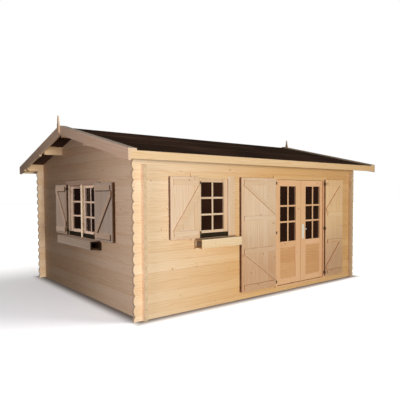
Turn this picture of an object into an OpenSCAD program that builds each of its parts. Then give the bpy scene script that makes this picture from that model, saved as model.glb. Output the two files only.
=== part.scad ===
// Log-built garden chalet: interlocking plank logs, a low felted roof with its ridge along the
// front, glazed double doors, two windows and board shutters on pin hinges.
// Millimetres. X runs along the front to the right, Y to the back, Z up from the ground.
// The origin is on the ground under the middle of the cabin.

/* [Log walls] */
// Length over the outer faces of the side walls
house_l = 4650; // [4500:10:5200]
// Depth over the outer faces of the front and back walls
house_w = 3890; // [3700:10:4400]
// Height of one log
log_h = 135; // [130:1:140]
// Thickness of the logs
log_t = 44; // [34:1:58]
// Length of the front and back logs' ends past the side walls
log_past = 125; // [80:5:180]
// Length of the side logs' ends past the front and back walls
side_past = 80; // [60:5:180]
// Depth of the arch that rounds each log end
log_nose = 24; // [8:1:32]
// Depth of the chamfered joint line between two logs
joint_cut = 3; // [1:0.5:5]
// Whole logs in a side wall up to the eaves
courses = 15; // [15:1:16]
// Height of the top edge of the front openings
opening_top = 1900; // [1890:5:1950]

/* [Roof] */
// Slope of both roof sides in degrees
pitch = 13.4; // [10:0.2:20]
// Thickness of the roof boards with their felt
roof_t = 24; // [18:1:40]
// Roof overhang past the side walls
overhang_gable = 347; // [250:1:450]
// Roof overhang past the front and back walls
overhang_eave = 325; // [250:5:450]
// Height of the wall plate at its outer face
plate_h = 122; // [90:1:150]
// Radius of the rounded lower corners of the wall plates' ends
plate_round = 70; // [20:1:85]
// Thickness of the purlins
purlin_t = 58; // [44:1:80]
// Height of the purlins
purlin_h = 135; // [100:1:160]
// Distance of the middle purlins from the ridge
purlin_y = 870; // [700:10:1100]
// Thickness of the barge boards
barge_t = 40; // [18:1:50]
// Depth of the barge boards, square to the slope
barge_h = 138; // [110:1:180]
// Height of the barge boards above the felt
barge_rise = 26; // [10:1:45]
// Width of the verge battens that lie on the felt beside the barge boards
verge_w = 75; // [40:1:120]
// Depth of the carved teeth under the barge boards
tooth_h = 22; // [10:1:35]
// Length of the taper of each tooth
tooth_l = 280; // [150:10:400]
// Distance of the upper tooth from the ridge, along the slope
tooth_mid = 1085; // [900:5:1300]
// Distance of the lower tooth from the ridge, along the slope
tooth_end = 2045; // [1900:5:2100]
// Thickness of the eaves fascia
fascia_t = 24; // [18:1:40]
// Height of the eaves fascia
fascia_h = 105; // [80:1:140]
// Width of the ridge finials at their shoulders
finial_w = 72; // [60:1:120]
// Width of the finials at their feet
finial_foot_w = 46; // [30:1:58]
// Width of the finials a third of the way up their points
finial_neck_w = 40; // [25:1:55]
// Width of the finials at their tips
finial_tip_w = 12; // [6:1:20]
// Thickness of the ridge finials
finial_t = 22; // [15:1:30]
// Height of the finial tips above the ridge
finial_up = 178; // [120:1:260]
// Depth of the finials below the ridge
finial_down = 100; // [60:1:120]

/* [Floor] */
// Height of the floor joists
joist_h = 58; // [40:1:70]
// Width of the floor joists
joist_w = 45; // [35:1:60]
// Number of floor joists
joist_n = 8; // [5:1:12]
// Thickness of the floor boards
floor_t = 19; // [15:1:28]

/* [Doors] */
// Middle of the doorway from the outer face of the left wall
door_mid = 3168; // [3100:5:3250]
// Clear width between the door jambs
door_clear = 1234; // [1180:2:1300]
// Thickness of the jambs
jamb_t = 46; // [30:1:60]
// Thickness of the door leaves
leaf_t = 40; // [34:1:44]
// Gap round the door leaves
leaf_gap = 5; // [5:0.5:8]
// Outer stile of a leaf
stile_out = 78; // [60:1:110]
// Meeting stile of a leaf
stile_in = 128; // [90:1:140]
// Top rail of a leaf
leaf_top = 105; // [80:1:140]
// Height of the glass in a leaf
leaf_glass_h = 935; // [800:5:1000]
// Height of the upper and of the lower panes in a leaf
pane_h = 318; // [250:2:330]
// Rail between the glass and the lower panel
leaf_lock = 92; // [70:1:140]
// Bottom rail of a leaf
leaf_foot = 92; // [70:1:180]
// Depth of the recess round the lower panel
panel_in = 9; // [5:1:14]
// Height of the lever handle above the ground
handle_z = 1015; // [950:5:1100]

/* [Windows] */
// Middle of the front window from the outer face of the left wall
front_window_mid = 1186; // [1150:2:1250]
// Middle of the left window from the outer face of the front wall
left_window_mid = 1908; // [1800:2:2000]
// Height of the lower edge of the front window's opening
window_bottom = 985; // [950:5:1050]
// Width of one sash
sash_w = 568; // [520:2:600]
// Thickness of the frame's side and bottom members
frame_t = 28; // [22:1:40]
// Thickness of the frame's head
frame_head = 38; // [28:1:50]
// Width of the casing past the opening
casing_w = 98; // [60:1:110]
// Height of the casing over the opening
casing_head = 36; // [20:1:60]
// Thickness of the casing
casing_t = 18; // [12:1:19]
// Stiles of a sash
sash_stile = 73; // [50:1:90]
// Top rail of a sash
sash_top = 52; // [40:1:70]
// Bottom rail of a sash, behind the weather bar
sash_foot = 105; // [90:1:120]
// Thickness of a sash
sash_t = 36; // [28:1:40]
// Width of the glazing bars
bar_w = 28; // [20:1:40]
// Thickness of the glazing bars
bar_t = 11; // [8:1:16]
// How far the glazing bars lie behind the face of their leaf or sash
bar_set = 2; // [1:0.5:4]
// Thickness of the glass
glass_t = 4; // [3:0.5:6]
// Distance of the glass from the inner face of its leaf or sash
glass_in = 5; // [4:1:8]
// How far the glass sits in its rebate
glass_rebate = 8; // [5:1:12]
// Height of the dark weather bar under a sash
weather_h = 66; // [40:1:75]
// Width of the middle post of the left window
post_w = 30; // [24:1:50]
// How far the middle post stands out from the wall
post_out = 28; // [18:1:30]
// Angle by which the left window's far sash stands open inwards
sash_open = 20; // [0:1:90]

/* [Shutters] */
// Distance of the hinge axis from the wall
axis_out = 68; // [66:1:76]
// Distance of the shutter boards from the wall, when open
board_off = 42; // [40:1:46]
// Thickness of the shutter boards
board_t = 20; // [16:1:24]
// Thickness of the rails and braces
rail_t = 20; // [16:1:24]
// Height of the rails
rail_h = 76; // [60:1:110]
// Distance of the rails from the shutter's edges
rail_in = 42; // [20:1:60]
// Width of the braces along a rail
brace_w = 95; // [60:1:130]
// Distance of the braces from the shutter's edges
brace_in = 8; // [4:1:30]
// Length of the braces' tips along a rail
brace_tip = 16; // [8:1:40]
// Gap between hinge axis and shutter edge
hinge_gap = 10; // [10:0.5:12]
// Gap between two closed shutter leaves
meet_gap = 6; // [5:0.5:10]
// Lower edge of the door shutters
door_shutter_bottom = 112; // [90:2:140]
// Upper edge of the door shutters
door_shutter_top = 1888; // [1850:2:1900]
// Width of the left door shutter
door_shutter_w = 762; // [700:1:800]
// How far the left door shutter's hinge axis lies outside the door lining
door_axis_l_out = 30; // [8:1:40]
// How far the right door shutter's hinge axis lies inside the edge of the door lining
door_axis_r_in = 41; // [10:1:41]
// Lower edge of the front window's shutter
window_shutter_bottom = 1021; // [1005:1:1050]
// Upper edge of the front window's shutter
window_shutter_top = 1878; // [1850:1:1920]
// Width of the front window's shutter
window_shutter_w = 488; // [460:1:520]
// How far the front window shutter's hinge axis lies inside the edge of the opening
window_axis_in = 38; // [10:1:50]
// How far the left window's near shutter's hinge axis lies inside the edge of the opening
near_axis_in = 23; // [10:1:50]
// How far the left window's far shutter's hinge axis lies inside the edge of the opening
far_axis_in = 59; // [10:1:75]
// Width of the left window's near shutter
near_shutter_w = 595; // [560:1:620]
// Radius of the hinge pins
pin_r = 5; // [4:0.5:6]
// Running clearance round the hinge pins
pin_gap = 0.08; // [0.04:0.02:0.1]
// Length of the hinge straps
strap_l = 260; // [160:5:300]
// Width of the hinge straps
strap_w = 36; // [28:1:50]
// Thickness of the hinge straps
strap_t = 4; // [3:0.5:5]

/* [Window boxes] */
// How much shorter the front window's box is than the casing over it
front_box_in = 68; // [0:2:120]
// Distance of the left window box's ends from the edges of the casing
left_box_in = 9; // [0:1:60]
// Depth of the window boxes from the wall
box_d = 180; // [140:2:220]
// Height of the window boxes
box_h = 124; // [100:1:160]
// Thickness of the box boards
box_t = 20; // [15:1:28]
// Thickness of the cleats that carry the boxes
cleat_t = 30; // [22:1:40]
// Gap between the boxes and the shutters over them
box_gap = 14; // [8:1:30]

/* [Hidden] */
$fn = 48;
pine = [0.85, 0.68, 0.48];
pale_pine = [0.88, 0.76, 0.61];
felt = [0.2, 0.15, 0.12];
glass_tint = [0.2, 0.12, 0.06];
iron = [0.25, 0.23, 0.22];
bronze = [0.17, 0.16, 0.1];
nickel = [0.78, 0.77, 0.72];
cut = 1;
half_l = house_l / 2;
half_w = house_w / 2;
half_log = log_h / 2;
arch_r = (pow(half_log, 2) + pow(log_nose, 2)) / (2 * log_nose);
front_top = log_h * (courses + 0.5);
side_top = log_h * courses;
slope = tan(pitch);
roof_v = roof_t / cos(pitch);
roof_gap = 0.3;
under_ridge = front_top + plate_h + roof_gap + slope * half_w;
felt_ridge = under_ridge + roof_v;
eave_y = half_w + overhang_eave;
roof_edge_y = eave_y - fascia_t;
gable_x = half_l + overhang_gable;
roof_end_x = gable_x - barge_t;
door_x = door_mid - half_l;
front_window_x = front_window_mid - half_l;
left_window_y = left_window_mid - half_w;
door_half = door_clear / 2 + jamb_t;
front_window_half = sash_w / 2 + frame_t;
left_window_half = sash_w + post_w / 2 + frame_t;
side_opening_top = opening_top - half_log;
side_opening_bottom = window_bottom - half_log;
sill_top = window_bottom + frame_t;
sash_z1 = opening_top - frame_head;
leaf_w = (door_clear - 3 * leaf_gap) / 2;
leaf_z0 = half_log + frame_t + leaf_gap;
leaf_z1 = opening_top - frame_t - leaf_gap;
leaf_glass_z1 = leaf_z1 - leaf_top;
leaf_glass_z0 = leaf_glass_z1 - leaf_glass_h;
glass_y = log_t - glass_in - glass_t;
front_casing_half = front_window_half + casing_w;
left_casing_half = left_window_half + casing_w;
door_axis_l = door_mid - door_half - door_axis_l_out;
door_axis_r = door_mid + door_half - door_axis_r_in;
window_axis = front_window_mid - front_window_half + window_axis_in;
near_axis = left_window_mid - left_window_half + near_axis_in;
far_axis = left_window_mid + left_window_half - far_axis_in;
front_box_l = 2 * front_casing_half - front_box_in;
left_box_l = 2 * (left_casing_half - left_box_in);
right_shutter_w = door_axis_r - door_axis_l - 2 * hinge_gap - meet_gap - door_shutter_w;
far_shutter_w = far_axis - near_axis - 2 * hinge_gap - meet_gap - near_shutter_w;
door_shutter_h = door_shutter_top - door_shutter_bottom;
window_shutter_h = window_shutter_top - window_shutter_bottom;
knuckle_wall = 4;
knuckle_r = pin_r + knuckle_wall;
bracket_h = 8;
bracket_l = 60;
bracket_t = 4;
seat_gap = 0.3;
pin_proud = 6;
pin_h = strap_w + bracket_h + seat_gap + pin_proud;
inner_rail_shares = [0.36, 0.645];
weather_set = 7;
weather_drop = 10;
weather_round = 7;
butt_r = 7;
butt_h = 45;
butt_l = 34;
butt_t = 3;
butt_y = log_t + butt_r + 1;
butt_in = 200;
butt_heights = [leaf_z0 + butt_in, (leaf_z0 + leaf_z1) / 2, leaf_z1 - butt_in];

function roof_under(y) = under_ridge - slope * abs(y);
function seat_under(y) = roof_under(y) - roof_gap;
function roof_top(y) = felt_ridge - slope * abs(y);

// Draws a shape of the Y-Z plane from x0 to x1
module along_x(x0, x1) {
    translate([x0, 0, 0])
        rotate([90, 0, 90])
            linear_extrude(x1 - x0)
                children();
}

// Draws a shape of the X-Z plane from y0 to y1
module along_y(y0, y1) {
    translate([0, y1, 0])
        rotate([90, 0, 0])
            linear_extrude(y1 - y0)
                children();
}

// Section of a stack of logs between two heights, with its joint lines chamfered on both faces
module log_section(first_joint, z0, z1) {
    joints = [for (z = [first_joint : log_h : z1 - joint_cut]) if (z > z0 + joint_cut) z];
    right_side = [for (z = joints) each [
        [log_t, z - joint_cut],
        [log_t - joint_cut, z],
        [log_t, z + joint_cut]
    ]];
    left_side = [for (i = [len(joints) - 1 : -1 : 0]) each [
        [0, joints[i] + joint_cut],
        [joint_cut, joints[i]],
        [0, joints[i] - joint_cut]
    ]];
    polygon(concat([[0, z0], [log_t, z0]], right_side, [[log_t, z1], [0, z1]], left_side));
}

// Elevation of one log's end from inside the wall out to its arched nose; mid is the heart's height
module log_end(inner, outer, z0, z1, mid) {
    way = outer > inner ? 1 : -1;
    shoulder = outer - way * log_nose;
    translate([min(inner, shoulder), z0])
        square([abs(shoulder - inner), z1 - z0]);
    intersection() {
        translate([min(shoulder, outer), z0])
            square([log_nose, z1 - z0]);
        translate([outer - way * arch_r, mid])
            circle(arch_r, $fn = 128);
    }
}

// Elevation of the log ends of a front or back wall, which start with a half log
module long_wall_ends(inner, outer) {
    log_end(inner, outer, 0, half_log, 0);
    for (k = [1 : courses])
        log_end(inner, outer, (k - 0.5) * log_h, (k + 0.5) * log_h, k * log_h);
}

// Elevation of the log ends of a side wall, which start with a whole log
module side_wall_ends(inner, outer) {
    for (k = [0 : courses - 1])
        log_end(inner, outer, k * log_h, (k + 1) * log_h, (k + 0.5) * log_h);
}

// Space that the side walls' notched logs take up in a corner of a long wall
module side_log_necks(x) {
    for (k = [0 : courses - 1])
        translate([x, -half_w - cut, (k + 0.25) * log_h])
            cube([log_t, house_w + 2 * cut, half_log]);
}

// Space that the long walls' notched logs take up in a corner of a side wall
module long_log_necks() {
    for (y = [-half_w, half_w - log_t], k = [0 : courses])
        translate([-half_l - cut, y, max(0, (k - 0.25) * log_h) - (k == 0 ? cut : 0)])
            cube([house_l + 2 * cut, log_t, k == 0 ? half_log / 2 + cut : half_log]);
}

// Logs of a long wall whose outer face is at y, between two heights
module long_wall_logs(y, x0, x1, z0, z1) {
    translate([0, y, 0])
        along_x(x0, x1)
            log_section(half_log, z0, z1);
}

// Plain panel of the front wall
module front_panel(x0, x1, z0, z1) {
    color(pine)
        long_wall_logs(-half_w, x0, x1, z0, z1);
}

// Panel of a long wall that ends in log ends to the left, to the right or both
module ended_long_panel(y, x0, x1, z0, z1, left, right) {
    color(pine)
        difference() {
            intersection() {
                long_wall_logs(y, left ? -half_l - log_past : x0, right ? half_l + log_past : x1, z0, z1);
                along_y(y - cut, y + log_t + cut) {
                    if (left)
                        long_wall_ends(x1, -half_l - log_past);
                    if (right)
                        long_wall_ends(x0, half_l + log_past);
                }
            }
            if (left)
                side_log_necks(-half_l);
            if (right)
                side_log_necks(half_l - log_t);
        }
}

module front_wall_left() {
    ended_long_panel(-half_w, -half_l, front_window_x - front_window_half, 0, opening_top, true, false);
}

module front_wall_under_window() {
    front_panel(front_window_x - front_window_half, front_window_x + front_window_half, 0, window_bottom);
}

module front_wall_pier() {
    front_panel(front_window_x + front_window_half, door_x - door_half, 0, opening_top);
}

module front_wall_right() {
    ended_long_panel(-half_w, door_x + door_half, half_l, 0, opening_top, false, true);
}

module front_wall_sill_log() {
    front_panel(door_x - door_half, door_x + door_half, 0, half_log);
}

module front_wall_head() {
    ended_long_panel(-half_w, -half_l, half_l, opening_top, front_top, true, true);
}

module back_wall() {
    ended_long_panel(half_w - log_t, -half_l, half_l, 0, front_top, true, true);
}

// Logs of a side wall whose lower X face is at x, between two heights
module side_wall_logs(x, y0, y1, z0, z1) {
    translate([x, 0, 0])
        along_y(y0, y1)
            log_section(0, z0, z1);
}

// Panel of a side wall that ends in log ends to the front, to the back or both
module ended_side_panel(x, y0, y1, z0, z1, front, back) {
    difference() {
        intersection() {
            side_wall_logs(x, front ? -half_w - side_past : y0, back ? half_w + side_past : y1, z0, z1);
            along_x(x - cut, x + log_t + cut) {
                if (front)
                    side_wall_ends(y1, -half_w - side_past);
                if (back)
                    side_wall_ends(y0, half_w + side_past);
            }
        }
        long_log_necks();
    }
}

module left_wall_front() {
    color(pine)
        ended_side_panel(-half_l, -half_w, left_window_y - left_window_half,
            0, side_opening_top, true, false);
}

module left_wall_back() {
    color(pine)
        ended_side_panel(-half_l, left_window_y + left_window_half, half_w, 0, side_opening_top, false, true);
}

module left_wall_under_window() {
    color(pine)
        side_wall_logs(-half_l, left_window_y - left_window_half, left_window_y + left_window_half,
            0, side_opening_bottom);
}

module right_wall() {
    color(pine)
        ended_side_panel(half_l - log_t, -half_w, half_w, 0, side_opening_top, true, true);
}

// Side wall from the top of the openings up to the roof, round the purlins
module gable(x) {
    color(pine) {
        difference() {
            union() {
                ended_side_panel(x, -half_w, half_w, side_opening_top, side_top, true, true);
                intersection() {
                    side_wall_logs(x, -half_w + log_t, half_w - log_t, side_top, under_ridge);
                    along_x(x - cut, x + log_t + cut)
                        polygon([
                            [-half_w + log_t, side_top], [half_w - log_t, side_top],
                            [half_w - log_t, seat_under(half_w - log_t)], [0, seat_under(0)],
                            [-half_w + log_t, seat_under(half_w - log_t)]
                        ]);
                }
            }
            along_x(x - cut, x + log_t + cut) {
                ridge_purlin_section();
                purlin_section(-purlin_y);
                purlin_section(purlin_y);
            }
        }
    }
}

module left_gable() {
    gable(-half_l);
}

module right_gable() {
    gable(half_l - log_t);
}

// Section of a wall plate, planed to the roof's slope
module plate_section(y0, y1) {
    polygon([[y0, front_top], [y1, front_top], [y1, seat_under(y1)], [y0, seat_under(y0)]]);
}

// Wall plate with its lower corners rounded where it stands out under the gables
module wall_plate(y0, y1) {
    color(pine)
        difference() {
            along_x(-roof_end_x, roof_end_x)
                plate_section(y0, y1);
            for (way = [-1, 1])
                along_y(y0 - cut, y1 + cut)
                    translate([way * roof_end_x, front_top])
                        scale([-way, 1])
                            difference() {
                                translate([-cut, -cut])
                                    square(plate_round + cut);
                                translate([plate_round, plate_round])
                                    circle(plate_round);
                            }
        }
}

module front_plate() {
    wall_plate(-half_w, -half_w + log_t);
}

module back_plate() {
    wall_plate(half_w - log_t, half_w);
}

// Section of a middle purlin, planed to the roof's slope
module purlin_section(y) {
    y0 = y - purlin_t / 2;
    y1 = y + purlin_t / 2;
    z0 = seat_under(y) - purlin_h;
    polygon([[y0, z0], [y1, z0], [y1, seat_under(y1)], [y0, seat_under(y0)]]);
}

// Section of the ridge purlin, planed to both slopes
module ridge_purlin_section() {
    y1 = purlin_t / 2;
    z0 = seat_under(0) - purlin_h;
    polygon([[-y1, z0], [y1, z0], [y1, seat_under(y1)], [0, seat_under(0)], [-y1, seat_under(y1)]]);
}

module ridge_purlin() {
    color(pine)
        along_x(-roof_end_x, roof_end_x)
            ridge_purlin_section();
}

module front_purlin() {
    color(pine)
        along_x(-roof_end_x, roof_end_x)
            purlin_section(-purlin_y);
}

module back_purlin() {
    color(pine)
        along_x(-roof_end_x, roof_end_x)
            purlin_section(purlin_y);
}

// Section of one roof side; way is -1 for the front and 1 for the back
module roof_section(way) {
    y = way * roof_edge_y;
    polygon([[0, under_ridge], [y, roof_under(y)], [y, roof_top(y)], [0, felt_ridge]]);
}

module roof_front() {
    color(felt)
        along_x(-roof_end_x, roof_end_x)
            roof_section(-1);
}

module roof_back() {
    color(felt)
        along_x(-roof_end_x, roof_end_x)
            roof_section(1);
}

// Section of an eaves fascia, its top planed to the felt
module fascia_section(way) {
    y0 = way * roof_edge_y;
    y1 = way * eave_y;
    z0 = roof_top(roof_edge_y) - fascia_h;
    polygon([[y0, z0], [y1, z0], [y1, roof_top(y1)], [y0, roof_top(y0)]]);
}

module front_fascia() {
    color(pine)
        along_x(-roof_end_x, roof_end_x)
            fascia_section(-1);
}

module back_fascia() {
    color(pine)
        along_x(-roof_end_x, roof_end_x)
            fascia_section(1);
}

// One carved tooth under a barge board: a cove uphill and a long taper downhill
module barge_tooth(s) {
    translate([s, -barge_h])
        difference() {
            polygon([[-tooth_h, 0], [0, -tooth_h], [tooth_l, 0], [tooth_l, cut], [-tooth_h, cut]]);
            translate([-tooth_h, -tooth_h])
                circle(tooth_h);
        }
}

// Outline of a barge board on the back slope, from the ridge down to the eaves
module barge_outline() {
    intersection() {
        translate([0, felt_ridge + barge_rise])
            rotate(-pitch)
                union() {
                    translate([-house_w / 4, -barge_h])
                        square([house_w, barge_h]);
                    barge_tooth(tooth_mid);
                    barge_tooth(tooth_end);
                }
        translate([0, front_top - overhang_eave])
            square([eave_y, house_w]);
    }
}

// Outline of a verge batten on the back slope, from the felt up to the top of the barge board
module verge_outline() {
    thick = barge_rise * cos(pitch) - roof_gap;
    intersection() {
        translate([0, felt_ridge + barge_rise])
            rotate(-pitch)
                translate([-house_w / 4, -thick])
                    square([house_w, thick]);
        translate([0, front_top - overhang_eave])
            square([eave_y, house_w]);
    }
}

// Barge board with its verge batten; side is -1 for the left and 1 for the right gable, and way is -1
// for the front and 1 for the back slope
module barge(side, way) {
    color(pale_pine)
        scale([side, 1, 1]) {
            along_x(roof_end_x, gable_x)
                scale([way, 1])
                    barge_outline();
            along_x(roof_end_x - verge_w, gable_x)
                scale([way, 1])
                    verge_outline();
        }
}

module left_barge_front() {
    barge(-1, -1);
}

module left_barge_back() {
    barge(-1, 1);
}

module right_barge_front() {
    barge(1, -1);
}

module right_barge_back() {
    barge(1, 1);
}

// Outline of a finial: a board with chamfered foot corners that narrows in two steps to a slim point
module finial_outline() {
    half = finial_w / 2;
    foot = felt_ridge - finial_down;
    foot_half = finial_foot_w / 2;
    shoulder = felt_ridge + barge_rise;
    tip = felt_ridge + finial_up;
    neck = shoulder + (tip - shoulder) / 3;
    right_side = [
        [foot_half, foot], [half, foot + half - foot_half], [half, shoulder],
        [finial_neck_w / 2, neck], [finial_tip_w / 2, tip]
    ];
    polygon(concat(right_side, [for (i = [len(right_side) - 1 : -1 : 0])
        [-right_side[i][0], right_side[i][1]]]));
}

module left_finial() {
    color(pale_pine)
        along_x(-gable_x - finial_t, -gable_x)
            finial_outline();
}

module right_finial() {
    color(pale_pine)
        along_x(gable_x, gable_x + finial_t)
            finial_outline();
}

module floor_joists() {
    inner = house_l - 2 * log_t;
    pitch_x = (inner - joist_w) / (joist_n - 1);
    color(pine)
        for (i = [0 : joist_n - 1])
            translate([-inner / 2 + i * pitch_x, -half_w + log_t, 0])
                cube([joist_w, house_w - 2 * log_t, joist_h]);
}

module floor_boards() {
    color(pine)
        translate([-half_l + log_t, -half_w + log_t, joist_h])
            cube([house_l - 2 * log_t, house_w - 2 * log_t, floor_t]);
}

// Sets a piece, drawn as on a wall facing -Y with its outer face at y = 0, on the front wall
module on_front(x) {
    translate([x, -half_w, 0])
        children();
}

// Sets a piece, drawn in the same way, on the left wall, half a log lower
module on_left(y) {
    translate([-half_l, y, -half_log])
        rotate([0, 0, -90])
            children();
}

// Ring of boards: outer size less a border at the sides, foot and head
module board_ring(x0, x1, z0, z1, side, foot, head, y0, y1) {
    difference() {
        translate([x0, y0, z0])
            cube([x1 - x0, y1 - y0, z1 - z0]);
        translate([x0 + side, y0 - cut, z0 + foot])
            cube([x1 - x0 - 2 * side, y1 - y0 + 2 * cut, z1 - z0 - foot - head]);
    }
}

// Flat casing at the sides and head of an opening, on the outer face of the wall
module casing(half, z0) {
    difference() {
        translate([-half - casing_w, -casing_t, z0])
            cube([2 * (half + casing_w), casing_t, opening_top + casing_head - z0]);
        translate([-half, -casing_t - cut, z0 - cut])
            cube([2 * half, casing_t + 2 * cut, opening_top - z0 + cut]);
    }
}

module door_frame() {
    half = door_clear / 2;
    color(pine)
        on_front(door_x) {
            difference() {
                union() {
                    translate([-door_half, -casing_t, half_log])
                        cube([2 * door_half, log_t + casing_t, opening_top - half_log]);
                    translate([-door_half - casing_w / 2, -casing_t, opening_top - frame_t])
                        cube([2 * door_half + casing_w, casing_t, casing_head + frame_t]);
                }
                translate([-half, -casing_t - cut, half_log + frame_t])
                    cube([2 * half, log_t + casing_t + 2 * cut, opening_top - half_log - 2 * frame_t]);
            }
        }
}

// Bars before the glass of an opening: two columns, and three rows of which the outer two are given
module glazing_bars(x0, x1, z0, z1, y, row) {
    translate([(x0 + x1 - bar_w) / 2, y, z0 - cut])
        cube([bar_w, bar_t, z1 - z0 + 2 * cut]);
    for (z = [z0 + row, z1 - row - bar_w])
        translate([x0 - cut, y, z])
            cube([x1 - x0 + 2 * cut, bar_t, bar_w]);
}

// Sheet of glass that fills an opening and its rebate
module glass_sheet(x0, x1, z0, z1, y) {
    translate([x0 - glass_rebate, y, z0 - glass_rebate])
        cube([x1 - x0 + 2 * glass_rebate, glass_t, z1 - z0 + 2 * glass_rebate]);
}

// Door leaf drawn as the left one, with its outer stile at x = 0 and the wall's outer face at y = 0
module leaf() {
    x0 = stile_out;
    x1 = leaf_w - stile_in;
    panel_z0 = leaf_z0 + leaf_foot;
    panel_z1 = leaf_glass_z0 - leaf_lock;
    difference() {
        translate([0, log_t - leaf_t, leaf_z0])
            cube([leaf_w, leaf_t, leaf_z1 - leaf_z0]);
        difference() {
            translate([x0, log_t - leaf_t - cut, leaf_glass_z0])
                cube([x1 - x0, leaf_t + 2 * cut, leaf_glass_h]);
            glazing_bars(x0, x1, leaf_glass_z0, leaf_glass_z1, log_t - leaf_t + bar_set, pane_h);
        }
        glass_sheet(x0, x1, leaf_glass_z0, leaf_glass_z1, glass_y);
        for (y = [log_t - leaf_t - cut, log_t - panel_in])
            translate([x0, y, panel_z0])
                cube([x1 - x0, panel_in + cut, panel_z1 - panel_z0]);
    }
}

// Upper half of a door hinge, on the leaf's inner face
module leaf_knuckle(z) {
    difference() {
        union() {
            translate([-leaf_gap / 2, log_t, z])
                cube([butt_l, butt_t, butt_h]);
            translate([-leaf_gap / 2, butt_y, z])
                cylinder(h = butt_h, r = butt_r);
        }
        translate([-leaf_gap / 2, butt_y, z - cut])
            cylinder(h = butt_h + 2 * cut, r = pin_r + pin_gap);
    }
}

// Lower half of a door hinge with its pin, on the jamb's inner face
module jamb_knuckle(z) {
    translate([-leaf_gap / 2 - butt_l, log_t, z - butt_h - seat_gap])
        cube([butt_l, butt_t, butt_h]);
    translate([-leaf_gap / 2, butt_y, z - butt_h - seat_gap])
        cylinder(h = butt_h, r = butt_r);
    translate([-leaf_gap / 2, butt_y, z - butt_h - seat_gap])
        cylinder(h = 2 * butt_h, r = pin_r);
}

module leaf_glass() {
    glass_sheet(stile_out, leaf_w - stile_in, leaf_glass_z0, leaf_glass_z1, glass_y);
}

// Sets a left leaf's piece in the doorway, or its mirror image as the right leaf's
module in_doorway(way) {
    on_front(door_x)
        scale([way, 1, 1])
            translate([-door_clear / 2 + leaf_gap, 0, 0])
                children();
}

module left_door() {
    color(pine)
        in_doorway(1)
            leaf();
}

module left_door_hinges() {
    color(iron)
        in_doorway(1)
            for (z = butt_heights)
                leaf_knuckle(z);
}

module left_door_glass() {
    color(glass_tint)
        in_doorway(1)
            leaf_glass();
}

module right_door() {
    color(pine)
        in_doorway(-1)
            leaf();
}

module right_door_hinges() {
    color(iron)
        in_doorway(-1)
            for (z = butt_heights)
                leaf_knuckle(z);
}

module right_door_glass() {
    color(glass_tint)
        in_doorway(-1)
            leaf_glass();
}

// Lever handle with its long plate on both faces of the right leaf's meeting stile
module door_handle() {
    back_w = 44;
    back_h = 250;
    back_below = 165;
    back_t = 4;
    lever_r = 8;
    lever_l = 72;
    lever_out = 22;
    lever_in = 60;
    x = leaf_w - lever_in;
    color(nickel)
        in_doorway(-1)
            for (side = [-1, 1]) {
                face = log_t - leaf_t / 2 + side * leaf_t / 2;
                translate([x - back_w / 2, min(face, face + side * back_t), handle_z - back_below])
                    cube([back_w, back_t, back_h]);
                translate([x, face + side * back_t, handle_z])
                    rotate([side * -90, 0, 0])
                        cylinder(h = lever_out + lever_r - back_t, r = lever_r);
                translate([x + lever_r, face + side * lever_out, handle_z])
                    rotate([0, -90, 0])
                        cylinder(h = lever_l, r = lever_r);
            }
}

module door_hinges() {
    color(iron)
        for (way = [-1, 1])
            in_doorway(way)
                for (z = butt_heights)
                    jamb_knuckle(z);
}

module window_frame(half) {
    board_ring(-half, half, window_bottom, opening_top, frame_t, frame_t, frame_head, -casing_t, log_t);
    casing(half, window_bottom);
}

// Sash drawn with its left edge at x = 0, closed in its frame
module sash() {
    x1 = sash_w - sash_stile;
    z0 = sill_top + sash_foot;
    z1 = sash_z1 - sash_top;
    y0 = log_t - sash_t;
    difference() {
        union() {
            board_ring(0, sash_w, sill_top, sash_z1, sash_stile, sash_foot, sash_top, y0, log_t);
            glazing_bars(sash_stile, x1, z0, z1, y0 + bar_set, (z1 - z0 - 2 * bar_w) / 3);
        }
        glass_sheet(sash_stile, x1, z0, z1, glass_y);
    }
}

module sash_glass() {
    glass_sheet(sash_stile, sash_w - sash_stile, sill_top + sash_foot, sash_z1 - sash_top, glass_y);
}

// Turns a closed sash inwards about its left inner edge
module opened_inwards() {
    translate([0, log_t, 0])
        rotate([0, 0, sash_open])
            translate([0, -log_t, 0])
                children();
}

// Sloping weather bar before the foot of a sash
module weather_bar(x0, x1) {
    y1 = log_t - sash_t;
    y0 = -casing_t + weather_set;
    nose = sill_top + weather_h - weather_drop;
    translate([x0, 0, 0])
        along_x(0, x1 - x0)
            polygon([
                [y1, sill_top], [y0, sill_top], [y0, nose - weather_round],
                [y0 + weather_round, nose], [y1, sill_top + weather_h]
            ]);
}

module front_window_frame() {
    color(pale_pine)
        on_front(front_window_x)
            window_frame(front_window_half);
}

module front_window_sash() {
    color(pale_pine)
        on_front(front_window_x)
            translate([-sash_w / 2, 0, 0])
                sash();
}

module front_window_glass() {
    color(glass_tint)
        on_front(front_window_x)
            translate([-sash_w / 2, 0, 0])
                sash_glass();
}

module left_window_frame() {
    color(pale_pine)
        on_left(left_window_y) {
            window_frame(left_window_half);
            translate([-post_w / 2, -post_out, sill_top])
                cube([post_w, log_t + post_out, sash_z1 - sill_top]);
        }
}

module left_window_near_sash() {
    color(pale_pine)
        on_left(left_window_y)
            translate([post_w / 2, 0, 0])
                sash();
}

module left_window_far_sash() {
    color(pale_pine)
        on_left(left_window_y)
            translate([-post_w / 2 - sash_w, 0, 0])
                opened_inwards()
                    sash();
}

module left_window_glass() {
    color(glass_tint)
        on_left(left_window_y) {
            translate([post_w / 2, 0, 0])
                sash_glass();
            translate([-post_w / 2 - sash_w, 0, 0])
                opened_inwards()
                    sash_glass();
        }
}

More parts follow.
